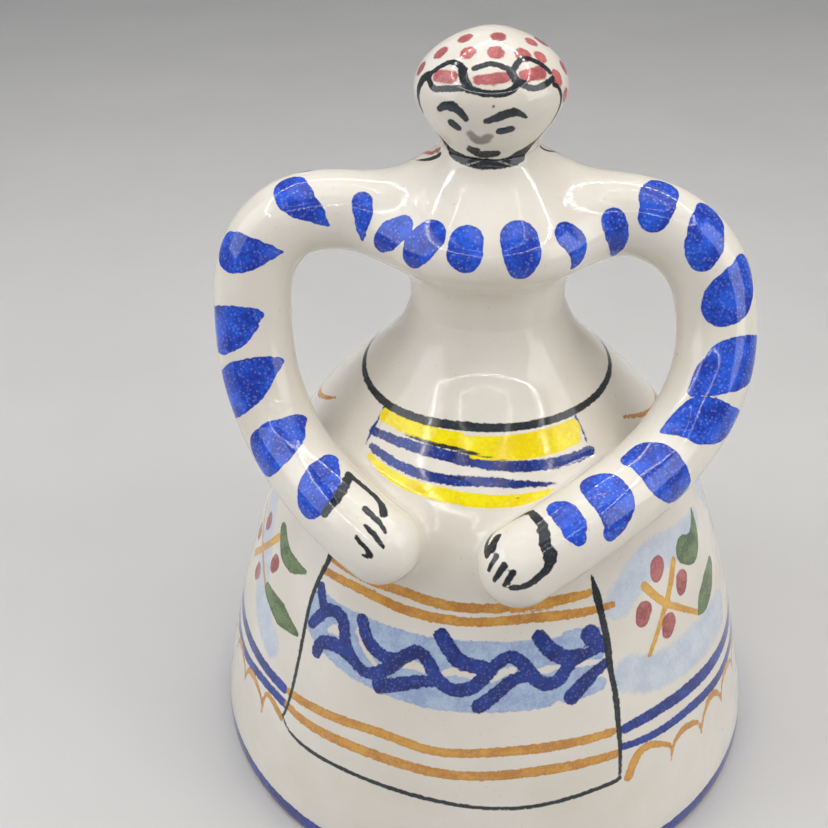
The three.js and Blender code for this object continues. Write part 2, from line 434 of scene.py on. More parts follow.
# the apron's outline
band("ink", [(-32, 48), (-32.5, 45), (-34.5, 40), (-34.7, 30), (-36, 20), (-37, 17.9)],
     (1.1, 0.8, 0.7, 0.7, 0.6, 0.5))
band("ink", [(-37, 17.8), (-35, 16.6), (-30, 15.9), (-20, 16.1), (-10, 16.2), (0, 15.9), (10, 15.4),
             (20, 15.3), (30, 15.8), (38.7, 16.2)], (0.5, 0.75, 0.7, 0.75, 0.6, 0.75, 0.8))
band("ink", [(37.5, 47.3), (38, 45), (38.5, 42), (39, 38), (39, 34), (39.5, 30), (39.5, 25), (39.3, 20),
             (38.7, 16.3)], (0.3, 1.3, 1.0, 1.2, 0.9, 1.0, 0.9, 0.7, 0.6))

# two pairs of ochre lines across the apron
band("ochre", [(-31.5, 45.9), (-20, 45.7), (-10, 45.6), (0, 45.0), (10, 44.9), (20, 45.0), (30, 45.1),
               (36, 45)], (1.2, 1.5, 1.4, 1.4, 1.3, 1.5, 1.2))
band("ochre", [(-33, 43.7), (-20, 43.9), (-10, 43.4), (0, 43.1), (10, 43.1), (20, 43.35), (30, 43.0),
               (42, 42.4)], (1.2, 1.4, 1.5, 1.3, 1.5, 1.0))
band("ochre", [(-36, 22.7), (-30, 23.2), (-20, 24.1), (-10, 24.6), (0, 23.9), (10, 24.3), (20, 24.6),
               (30, 24.5), (38, 24.3)], (1.4, 1.6, 1.5, 1.4, 1.6, 1.3))
band("ochre", [(-36, 20.3), (-30, 20.1), (-20, 20.6), (-10, 20.8), (0, 20.5), (10, 20.6), (20, 21.0),
               (30, 20.9), (38.5, 20.6)], (1.4, 1.7, 1.7, 1.5, 1.7, 1.4))

# pale blue wash between them, with white places left out of it
for spots, width in (
    ([(-29, 36.9), (-22, 36.2), (-12, 35.7), (0, 35.4), (12, 35.5), (22, 35.5)],
     (8.0, 9.8, 10.4, 10.8, 10.6, 10.4)),
    ([(22, 35.6), (30, 36.8), (34, 37.4)], (10.0, 7.6, 5.6)),
    ([(30, 39.2), (36, 39.4)], (3.6, 2.4)),
    ([(-31, 38.9), (-26, 38.6)], (4.4, 4.2)),
    ([(29, 32.4), (36, 32.2)], (3.8, 2.2)),
):
    band("wash", spots, width)
for spots, width in (
    ([(-27.2, 36.3), (-25, 36.9), (-23.5, 37.2)], (0.8, 1.9, 1.0)),
    ([(-19.5, 38.3), (-17, 36.2), (-14, 34.6)], (0.8, 1.1, 0.8)),
    ([(-8.4, 35.5), (-5.5, 36.1), (-3, 35.6)], (0.8, 1.5, 0.9)),
    ([(1.8, 35.6), (4.5, 36.2), (8, 35.7)], (0.9, 1.6, 1.0)),
    ([(12.4, 35.0), (15, 36.3), (17.2, 36.5)], (0.6, 1.1, 0.9)),
    ([(21.9, 35.9), (24.5, 36.1), (26.6, 36.1)], (0.7, 1.3, 0.7)),
    ([(30.4, 35.8), (34, 35.7), (37.6, 35.1)], (0.6, 0.9, 0.7)),
):
    band("wash", spots, width, lift=True)

# waves of a darker blue over the wash
for spots, width in (
    ([(-32.5, 41.3), (-30.5, 39.2), (-29, 38.9), (-26.5, 39.3), (-24, 38.6), (-23, 37), (-21.8, 35.5),
      (-20, 34.2), (-17, 33.0), (-14, 33.2), (-11, 34.6), (-9, 36), (-6.5, 37.4), (-4.5, 38.0),
      (-2.5, 37.4), (-1, 36), (0.5, 34.7), (3, 33.6), (5.5, 33.5), (8.5, 34.3), (11, 36), (12.5, 37),
      (14.5, 38), (16.5, 38.3), (18.5, 37.6), (20, 36.3), (21.5, 35), (23.5, 34.1), (25.5, 34),
      (27.5, 34.7), (29, 35.9), (30.5, 36.5), (33, 37), (36, 37.2), (37.8, 37.5)],
     (1.2, 1.5, 1.3, 1.5, 1.4, 1.5, 1.3, 1.5, 1.4, 1.0)),
    ([(-29.5, 38.5), (-31.5, 36.8), (-33, 35.4)], (1.3, 1.1)),
    ([(-29.8, 31.9), (-29.3, 33.4), (-27, 34.4), (-24.5, 34.7), (-22, 34.4), (-20, 33.9)], (1.3, 1.6, 1.4)),
    ([(-18.8, 40), (-17.5, 38.3), (-15.5, 37), (-12.5, 36.2), (-9.5, 36.3)], (1.4, 1.5, 1.3)),
    ([(-12.5, 31.6), (-8, 32.8), (-4, 33.8), (0, 34.4)], (1.6, 1.5, 1.2)),
    ([(0.7, 40.8), (2.5, 39.3), (4.5, 37.9), (7.5, 37.2), (11, 36.9)], (1.6, 1.7, 1.4)),
    ([(9.5, 31.3), (12, 32.6), (15, 34.3), (17, 35.2), (19.5, 35.3)], (1.6, 1.4, 1.2)),
    ([(23, 40.7), (24.5, 39.3), (26.5, 38), (29, 37.2), (32, 37.1)], (1.5, 1.7, 1.5)),
    ([(35, 39.6), (36, 38.6), (38, 37.3)], (2.0, 1.4)),
    ([(29.5, 31.5), (32, 32.8), (35, 34), (38.5, 35)], (1.8, 1.5, 1.0)),
):
    band("denim", spots, np.multiply(width, 1.42))

# two blue lines round the skirt, broken by the apron, and the blue foot
band("dusk", [(41, 24), (50, 24.1), (61, 23.6), (80, 22.4), (120, 22.2), (180, 22), (240, 21.7),
              (290, 21.8), (309, 22.2), (322, 22.5)], (1.7, 2.3, 2.0, 2.1, 1.9, 2.1, 2.1, 1.9))
band("dusk", [(40, 21.3), (50, 20.6), (60, 20.3), (72, 19.2), (85, 18.8), (130, 18.7), (180, 18.9),
              (230, 18.5), (275, 18.6), (302, 18.4), (310, 19.4), (317, 20), (323, 20.2)],
     (1.2, 1.8, 1.6, 1.8, 1.6, 1.8, 1.8, 1.6))
ringRound("rim", [1.3, 1.2, 1.35, 1.2, 1.3, 1.15, 1.3, 1.2, 1.3], 4.6)

# ochre scallops from one side of the apron round to the other
band("ochre", [(41, 16), (43, 18.5), (46, 19.4), (50, 18.2), (52.5, 16.5), (52.2, 14.4)],
     (1.7, 1.5, 1.2, 0.8, 0.5))
band("ochre", [(322.5, 17.4), (319, 18.4), (316, 18.2), (315, 14.2)], (1.4, 1.2, 0.7, 0.5))
scallops = dict(first=52.2, last=315, count=25, foot=14.3, rise=3.6)
edges = np.linspace(scallops["first"], scallops["last"], scallops["count"] + 1)
for left, right in zip(edges[:-1], edges[1:]):
    wide = right - left
    top = scallops["foot"] + scallops["rise"] * rng.uniform(0.88, 1.08)
    dip = scallops["foot"] + rng.uniform(-0.3, 0.5)
    band("ochre", [(left, dip), (left + 0.13 * wide, dip + 2.2), (left + 0.42 * wide, top),
                   (left + 0.72 * wide, top - 0.5), (left + 0.92 * wide, dip + 1.6),
                   (right, scallops["foot"])],
         (0.5, 0.8, 1.4, 1.2, 0.7, 0.5))


# painted shade: a brown patch under the ends of the hands, on the skirt and the hands
brush("shade", inSpace, [(-11.7, -34.2, 50.1), (-7.7, -34.3, 48.8), (-4.2, -33.9, 50.6)], (1.2, 3.4, 1.5),
      ("skirt_bell", "right_arm"))
brush("shade", inSpace, [(6.2, -33.9, 50.1), (10.2, -34.3, 48.3), (13.7, -34.2, 49.6)], (1.4, 3.4, 1.2),
      ("skirt_bell", "left_arm"))


def berry(spot, size=2.2, tall=3.2):
    angle, height = spot
    grow = (tall - size) / 2
    band("berry", [(angle - 0.4, height - grow), (angle + 0.4, height + grow)], (size * 0.85, size))


def rightSprig():
    # two washes, a cross of stems, four berries and two leaves
    band("mist", [(43.5, 42.3), (52, 45.0), (60, 45.4), (66, 44.8), (80, 44)], (4.6, 5.4, 5.2, 4.6, 3.4))
    band("mist", [(43.5, 32), (50, 30.2), (62, 29.2), (80, 28)], (5.4, 5.8, 6.4, 6.0))
    band("amber", [(64, 42.9), (61, 40.6), (58.5, 38.9), (56, 37.3), (52.5, 34.9), (49.8, 33)],
         (1.3, 1.1, 0.8))
    band("amber", [(52, 42.7), (57, 38.9), (62, 36.3), (69, 32.7)], (1.4, 1.1, 0.9))
    for spot in ((57.3, 43.6), (65, 39.1), (50, 39.0), (57, 35.1)):
        berry(spot, 3.1, 3.9)
    band("leaf", [(69.5, 42.9), (73.5, 41.7), (77.5, 43), (80.5, 45.6)], (4.2, 4.7, 2.8, 0.5))
    band("leaf", [(81.5, 35.6), (77, 34.3), (72.5, 33.3), (69, 32.4)], (2.4, 4.2, 4.0, 0.6))


def leftSprig():
    band("mist", [(-70, 45), (-62, 38), (-55, 31), (-46, 27)], (5.0, 6.2, 6.2, 5.0))
    band("amber", [(-75, 40), (-67, 37), (-60, 35), (-54.5, 33)], (1.1, 0.9, 0.8))
    band("amber", [(-69, 32.1), (-62, 36.6), (-55, 41.4)], (1.4, 1.2, 1.3))
    for spot in ((-65, 39.9), (-71, 35.2), (-53, 37.5), (-62, 32.0)):
        berry(spot, 2.6, 3.6)
    band("leaf", [(-54, 43.1), (-50, 41.2), (-45.5, 40.7), (-39, 41.5)], (2.2, 3.2, 2.8, 0.7))
    band("leaf", [(-53, 33.1), (-44.5, 32.6), (-37, 32.3)], (2.2, 4.0, 1.0))


def backSprig(middle):
    # the same sprig by the same hand, never quite alike
    def near(angle, height):
        return middle + angle + rng.uniform(-0.8, 0.8), 37 + height + rng.uniform(-0.4, 0.4)
    band("mist", [near(-12, 8), near(-4, 1), near(3, -6), near(12, -10)], (5.0, 6.2, 6.0, 4.8))
    band("amber", [near(-10, 5), near(-3, 1), near(3, -1), near(9, -5)], (1.3, 1.1, 0.8))
    band("amber", [near(-6, -4.5), near(0, 0), near(7, 5)], (1.4, 1.2, 1.2))
    for angle, height in ((0, 5.2), (-8, -0.5), (8, 0.8), (1, -4.8)):
        berry(near(angle, height), 2.9, 3.8)
    band("leaf", [near(10, 6.6), near(13, 4.8), near(16.5, 5.6), near(19, 8)], (3.4, 4.2, 2.6, 0.5))
    band("leaf", [near(9, -4.4), near(14, -4.2), near(19, -3)], (0.6, 4.0, 1.8))


rightSprig()
leftSprig()
for middle in (106, 154, 202, 250):
    backSprig(middle)

# the apron strings tied at the back
band("ochre", [(172, 60.5), (150, 57.2), (120, 55.0), (96, 57.2), (74, 60.6)], (0.8, 1.2, 1.3, 1.0, 0.5))
band("ochre", [(188, 60.5), (210, 57.0), (240, 54.6), (270, 55.6), (290, 59.6)], (0.8, 1.2, 1.3, 1.1, 0.5))
for side in (-1, 1):
    band("ochre", [(180, 60.4), (180 + 14 * side, 62.6), (180 + 25 * side, 60.8), (180 + 13 * side, 58.9),
                   (180 + 1.5 * side, 60)], (1.1, 1.3, 1.4, 1.2, 0.9))
    band("ochre", [(180 + 1 * side, 59.8), (180 + 5 * side, 56.2), (180 + 7 * side, 52.6),
                   (180 + 12 * side, 49.8)], (1.1, 1.4, 1.5, 0.5))
band("ochre", [(178, 60.4), (182, 60.2)], 2.6)

print("painting bust, arms and head")
upper = ("bust", "right_arm", "left_arm")
for spots, width in (
    ([(-37.5, 89.8), (-42, 88.6), (-46.5, 87.2)], (3.6, 4.1, 2.6)),
    ([(-20, 90.0), (-23.5, 88.7), (-25.5, 87.4)], (4.6, 4.9, 3.3)),
    ([(-0.8, 90.1), (-0.8, 88.9), (0, 88.3)], (4.4, 4.7, 3.6)),
    ([(25.2, 90.3), (25.4, 88.9), (24.6, 87.5)], (5.0, 5.1, 3.8)),
    ([(50.5, 89.6), (53.5, 88.3), (53, 86.8), (50.5, 85.6)], (3.8, 3.9, 2.4, 0.8)),
    ([(117, 90.0), (119, 88.6), (119.5, 87.3)], (3.8, 4.3, 2.8)),
    ([(142, 90.1), (143, 88.7), (143, 87.5)], (4.3, 4.7, 3.0)),
    ([(217, 90.1), (216, 88.8), (215, 87.4)], (4.5, 4.7, 3.2)),
    ([(242, 89.9), (241, 88.6), (240, 87.3)], (3.8, 4.2, 2.6)),
):
    brush("cobalt", onBust, spots, width, upper)

sleeveDabs = {
    "right_arm": [
        ([(6.6, -80), (6.4, -98), (6.2, -116), (5.9, -131)], (2.8, 2.6, 1.6, 0.5)),
        ([(11.6, -114), (12.8, -100), (14.2, -82), (15.0, -62), (15.2, -50)], (0.6, 2.2, 3.8, 4.8, 4.8)),
        ([(20.1, -124), (21.2, -108), (22.4, -88), (23.2, -66), (23.4, -52)], (0.6, 2.4, 4.2, 5.4, 5.2)),
        ([(30.7, -119), (31.4, -100), (32.6, -78), (33.4, -50), (33.6, -25)], (1.0, 3.4, 5.9, 6.7, 6.4)),
        ([(32.5, -112), (33.6, -92)], (0.7, 2.4)),
        ([(38.9, -145), (39.2, -125), (40.1, -100), (41.0, -75), (41.8, -48), (42.4, -30)],
         (0.8, 2.7, 5.0, 6.7, 6.9, 6.0)),
        ([(51.0, -153), (52.0, -135), (53.6, -112), (53.6, -90), (53.0, -70)], (0.9, 3.0, 5.6, 7.2, 6.8)),
        ([(60.8, -148), (61.8, -128), (63.0, -105), (63.6, -86), (63.8, -76)], (1.8, 3.5, 5.5, 5.7, 4.6)),
    ],
    "left_arm": [
        ([(6.6, 116), (7.1, 132), (7.3, 150), (7.0, 170)], (3.4, 3.2, 2.2, 0.8)),
        ([(11.4, 56), (11.4, 80), (11.7, 99)], (4.6, 4.7, 4.1)),
        ([(16.9, 54), (17.4, 74), (18.4, 95), (19.1, 107)], (4.4, 5.1, 5.3, 3.9)),
        ([(23.6, 56), (25.0, 76), (26.2, 96), (27.0, 108)], (4.6, 6.1, 6.7, 5.0)),
        ([(33.6, 35), (34.4, 60), (35.6, 88), (37.8, 112), (40.2, 128)], (5.4, 6.7, 7.0, 5.0, 1.4)),
        ([(49.0, 133), (46.0, 122), (43.6, 100), (42.6, 76), (41.8, 50), (41.4, 40)],
         (0.8, 3.6, 6.3, 5.9, 4.6, 3.6)),
        ([(57.0, 135), (55.2, 122), (54.7, 98), (54.0, 70), (53.0, 48)], (2.4, 5.7, 6.9, 5.7, 3.8)),
        ([(63.0, 136), (62.6, 118), (62.8, 95), (63.8, 74), (64.6, 64)], (3.7, 5.7, 5.7, 4.0, 2.6)),
        ([(68.2, 134), (67.9, 116), (68.0, 96), (68.4, 78)], (2.3, 3.5, 3.3, 2.0)),
    ],
}
for name, dabs in sleeveDabs.items():
    side = -1 if name == "right_arm" else 1
    for spots, width in dabs:
        brush("cobalt", arms[name].on, spots, width, upper)
    for along in (12, 21, 31, 41, 51, 60):      # the same dabs on the back of the sleeve
        along += rng.uniform(-0.8, 0.8)
        lean = side * rng.uniform(-6, 6)
        brush("cobalt", arms[name].on, [(along + 1.0, -12 * side + lean), (along + 0.4, -40 * side + lean),
                                        (along - 0.6, -68 * side + lean), (along - 1.4, -92 * side + lean)],
              (4.6, 5.2, 4.2, 1.0), upper)

handLines = {
    "right_arm": [
        ([(64.1, -149), (65.8, -115), (66.2, -78)], (1.1, 1.3, 1.1)),
        ([(64.3, -149), (67.7, -150), (70.2, -141), (71.4, -126)], (0.9, 0.9, 1.0, 1.0)),
        ([(69.3, -119), (71.4, -113), (73.3, -106)], (0.9, 0.8, 0.55)),
        ([(70.6, -98), (72.4, -93), (74.2, -87)], (0.55, 0.8, 0.5)),
        ([(70.6, -78), (72.0, -73), (73.6, -67), (72.6, -61)], (0.6, 0.65, 0.4)),
    ],
    "left_arm": [
        ([(70.8, 155), (70.8, 117), (71.8, 84), (72.6, 64), (75.5, 53), (77.9, 60)],
         (1.0, 1.2, 1.4, 1.7, 1.0, 0.8)),
        ([(71, 158), (74.3, 170), (77.8, 145), (78.4, 125)], (0.9, 0.7, 0.8, 0.9)),
        ([(76.0, 140), (77.4, 128)], (1.2, 1.5)),
        ([(77.4, 111), (79.4, 104)], (0.9, 0.6)),
        ([(77.2, 93), (79.6, 83)], (1.1, 0.6)),
        ([(76.6, 79), (78.6, 68)], (0.9, 0.6)),
    ],
}
for name, lines in handLines.items():
    for spots, width in lines:
        brush("ink", arms[name].on, spots, width, (name,))

# face, hair and kerchief
headPieces = ("head", "bust")


def face(colour, spots, width, pieces=headPieces):
    brush(colour, onHead, spots, width, pieces)


for spots, width in (
    ([(-47, 108.2), (-38, 109.4), (-25, 109.7), (-15, 109.3)], 0.8),
    ([(-47, 107.6), (-38, 106.9), (-25, 107.2), (-12, 107.5)], 0.8),
    ([(-17, 109.2), (-11, 108.2), (-7, 107.6)], 1.2),
    ([(-6, 109.5), (5, 109.9), (15, 109.9), (27, 109.4)], 0.8),
    ([(-10, 107.8), (0, 107.3), (12, 107.1), (24, 107.3), (30, 107.8)], 0.9),
    ([(27, 109.3), (31, 108.3), (36, 107.9)], 1.1),
    ([(30, 109.3), (40, 110), (52, 110), (62, 109.2), (66, 108.3)], 0.8),
    ([(33, 108), (42, 107.3), (55, 107.3), (66, 107.6)], 0.8),
    ([(-48, 107.9), (-55, 107), (-57, 105.5), (-56, 103)], (1.2, 1.5, 0.7)),
    ([(64, 107), (70, 106), (72, 104), (70, 101.5), (60, 98.5)], (0.7, 0.5)),
    ([(-30, 104.6), (-22, 105.3), (-13, 104.9), (-8, 104)], (0.8, 1.4, 0.9)),
    ([(7, 103.8), (15, 104.3), (24, 104.8), (30, 104.7), (37, 103.9)], (0.8, 1.2, 1.1, 0.4)),
    ([(-20, 103), (-16, 102.5)], (1.3, 1.2)),
    ([(18, 102.3), (26, 102.5)], (1.2, 1.1)),
    ([(-11, 98.9), (-5, 98.5), (5, 98.4), (17, 98.5)], (1.0, 1.2, 1.1)),
    ([(-11, 99.4), (-2, 99.1)], 0.5),
):
    face("ink", spots, width)
face("smoke", [(-6, 101.8), (-3, 101.0), (4, 100.8), (9, 101.5)], (1.0, 1.7, 1.7, 1.1))
face("stain", [(12, 105.7)], 0.35)
for spots, width in (
    ([(-38, 108.2), (-24, 108.4)], 1.7), ([(-1, 108.5), (12, 108.6), (25, 108.8)], (1.2, 1.6, 1.3)),
    ([(39, 108.6), (56, 108.6)], (1.6, 1.8)),
):
    face("rose", spots, width)
dots = [(-58, 110.0), (-50, 111.6), (-20, 110.7), (17, 110.9), (28, 112.0), (50, 110.4), (70, 109.8),
        (85, 111), (-70, 107.8), (72, 107.4), (80, 104.9)]
for height, step, start in ((110.3, 36, 110), (107.6, 27, 96), (104.8, 27, 108), (101.9, 30, 98),
                            (99.6, 36, 112)):
    dots += [(angle, height) for angle in np.arange(start, 268, step)]
for angle, height in dots:
    face("rose", [(angle + rng.uniform(-1.5, 1.5), height)], rng.uniform(1.8, 2.4))

brush("ink", onNeck, [(-52, 99.7), (-46, 98.4), (-30, 97.5), (-10, 97.1), (10, 97.0), (30, 97.1),
                      (45, 97.7), (64, 99.2)], (0.9, 1.4, 1.3, 1.5, 1.2, 1.9, 0.8), headPieces)
brush("ink", onBust, [(-60, 96.6), (-70, 95.4), (-85, 94.3), (-105, 93.6), (-130, 91.8), (-156, 89.6),
                      (-180, 87.2)], (0.9, 0.8, 0.9, 0.6, 0.8, 0.7), ("bust",))
brush("ink", onBust, [(92, 97.2), (110, 95.5), (117, 95.0), (135, 92.4), (158, 89.6), (180, 87.2)],
      (0.5, 0.6, 0.8, 0.7, 0.8), ("bust",))
for spots in ([(-68, 96.9), (-78, 96.4)], [(-75, 96.2), (-95, 95.0)]):
    brush("rose", onBust, spots, (0.9, 0.6), ("bust",))
for angle, height in ((128, 95.2), (146, 93.2), (164, 95.2), (180, 92.6), (180, 89.6), (198, 95.2),
                      (214, 93.2), (232, 95.2), (163, 91.3), (197, 91.3)):
    brush("rose", onBust, [(angle, height)], rng.uniform(1.4, 1.9), ("bust",))


# The glazes and paints, from the thinnest wash to the lines drawn last.
paintLooks = {
    # light and dark colour, cover, strength of the light flecks, softness and raggedness of the edge in mm
    "mist": dict(light=(0.57, 0.66, 0.78), dark=(0.42, 0.52, 0.70), cover=0.7,
                 fleck=0.0, soft=0.55, ragged=0.9),
    # painted shade: the brown patch under the ends of the hands
    "shade": dict(light=(0.34, 0.26, 0.21), dark=(0.22, 0.15, 0.11), cover=0.55,
                  fleck=0.0, soft=0.6, ragged=0.9),
    "wash": dict(light=(0.40, 0.53, 0.74), dark=(0.22, 0.33, 0.60), cover=0.86,
                 fleck=0.35, soft=0.16, ragged=0.5),
    "denim": dict(light=(0.012, 0.042, 0.30), dark=(0.004, 0.014, 0.14), cover=0.99,
                  fleck=0.3, soft=0.10, ragged=0.42),
    "cobalt": dict(light=(0.016, 0.105, 0.72), dark=(0.005, 0.030, 0.34), cover=0.99,
                   fleck=0.45, soft=0.07, ragged=0.16),
    "dusk": dict(light=(0.010, 0.052, 0.38), dark=(0.004, 0.018, 0.17), cover=0.99,
                 fleck=0.2, soft=0.12, ragged=0.34),
    "rim": dict(light=(0.018, 0.045, 0.36), dark=(0.006, 0.016, 0.15), cover=0.98,
                fleck=0.2, soft=0.10, ragged=0.35),
    "sun": dict(light=(0.95, 0.82, 0.002), dark=(0.86, 0.64, 0.001), cover=1.0,
                fleck=0.0, soft=0.08, ragged=0.3),
    "ochre": dict(light=(0.70, 0.34, 0.030), dark=(0.50, 0.19, 0.008), cover=0.93,
                  fleck=0.28, soft=0.09, ragged=0.34),
    "amber": dict(light=(0.76, 0.43, 0.05), dark=(0.58, 0.27, 0.015), cover=0.92,
                  fleck=0.1, soft=0.09, ragged=0.25),
    "leaf": dict(light=(0.12, 0.21, 0.06), dark=(0.025, 0.075, 0.012), cover=0.93,
                 fleck=0.12, soft=0.10, ragged=0.22),
    "berry": dict(light=(0.52, 0.14, 0.13), dark=(0.26, 0.025, 0.035), cover=0.93,
                  fleck=0.12, soft=0.10, ragged=0.22),
    "rose": dict(light=(0.58, 0.11, 0.12), dark=(0.34, 0.035, 0.045), cover=0.92,
                 fleck=0.15, soft=0.16, ragged=0.3),
    "smoke": dict(light=(0.20, 0.18, 0.18), dark=(0.10, 0.09, 0.10), cover=0.8,
                  fleck=0.0, soft=0.3, ragged=0.3),
    "stain": dict(light=(0.16, 0.07, 0.03), dark=(0.06, 0.02, 0.01), cover=0.95,
                  fleck=0.0, soft=0.12, ragged=0.1),
    "ink": dict(light=(0.014, 0.024, 0.036), dark=(0.003, 0.006, 0.010), cover=0.98,
                fleck=0.1, soft=0.08, ragged=0.22),
    "bare": dict(light=(0.60, 0.45, 0.30), dark=(0.42, 0.29, 0.18), cover=1.0,
                 fleck=0.0, soft=0.12, ragged=0.5),
}
glazeLook = dict(
    cloudRamp=(0.3, 0.7), grainRamp=(0.62, 0.8), speckRamp=(0.045, 0.02), fleckRamp=(0.42, 0.12),
    shadeRamp=(0.38, 0.62), poolRamp=(1.45, 1.0), speckRarity=0.8, speckCover=0.75, toneShare=0.65,
    fineShare=0.35, poolCover=0.45, paler=0.55, palest=0.40, fleckCover=0.6, dryRoughness=0.8,
    glossChange=0.05, glossScale=0.4, bumpStrength=0.7, glassiness=1.5,
    cream=(0.80, 0.757, 0.685), ivory=(0.735, 0.682, 0.60), thin=(0.66, 0.58, 0.47),
    speck=(0.12, 0.07, 0.04),
    roughness=0.07, cloudScale=0.07, grainScale=1.7, speckScale=0.22, edgeScale=1.5, toneScale=0.30,
    fineScale=2.4, fleckScale=1.9, dimpleScale=0.16, dimpleDepth=0.16, peelScale=1.1, peelDepth=0.0015,
    speckDepth=0.05, paintDepth=0.018,
)
clayLook = dict(sandy=(0.62, 0.46, 0.31), tan=(0.48, 0.33, 0.20), grit=(0.28, 0.17, 0.09), roughness=0.82,
                grainScale=3.0, toneScale=0.35, gritScale=1.6, grainDepth=0.15, toneRamp=(0.3, 0.7),
                gritRamp=(0.16, 0.06), bumpStrength=0.6)
steelLook = dict(bright=(0.46, 0.46, 0.45), rust=(0.20, 0.11, 0.06), rustScale=0.9, clean=0.30, rusty=0.65,
                 rustRamp=(0.52, 0.68), rustCover=0.7, drawnStretch=(6, 6, 0.4), drawnDepth=0.04,
                 bumpStrength=0.4)


def node(tree, kind, inputs=None, **settings):
    made = tree.nodes.new(kind)
    for key, value in settings.items():
        setattr(made, key, value)
    for key, value in (inputs or {}).items():
        if isinstance(value, bpy.types.NodeSocket):
            tree.links.new(value, made.inputs[key])
        else:
            made.inputs[key].default_value = value
    return made


def calc(tree, operation, first, second=0.0):
    return node(tree, "ShaderNodeMath", {0: first, 1: second}, operation=operation).outputs[0]


def mixColour(tree, share, first, second):
    made = node(tree, "ShaderNodeMix", data_type="RGBA")
    for index, value in ((0, share), (6, first), (7, second)):
        if isinstance(value, bpy.types.NodeSocket):
            tree.links.new(value, made.inputs[index])
        else:
            made.inputs[index].default_value = value if index == 0 else (*value, 1)
    return made.outputs[2]


def ramp(tree, value, low, high):
    # 0 at low, 1 at high and a smooth step between
    return node(tree, "ShaderNodeMapRange", {"Value": value, "From Min": low, "From Max": high},
                interpolation_type="SMOOTHSTEP", clamp=True).outputs[0]


def noise(tree, coords, scale, detail=2.0, roughness=0.5):
    return node(tree, "ShaderNodeTexNoise", {"Vector": coords, "Scale": scale, "Detail": detail,
                "Roughness": roughness}).outputs[0]


def newMaterial(name):
    material = bpy.data.materials.new(name)
    material.use_nodes = True
    tree = material.node_tree
    tree.nodes.clear()
    shader = node(tree, "ShaderNodeBsdfPrincipled")
    node(tree, "ShaderNodeOutputMaterial", {"Surface": shader.outputs[0]})
    coords = node(tree, "ShaderNodeTexCoord").outputs["Object"]
    inMillimetres = node(tree, "ShaderNodeMapping",
                         {"Vector": coords, "Scale": (1 / metre,) * 3}).outputs[0]
    return material, tree, shader, inMillimetres


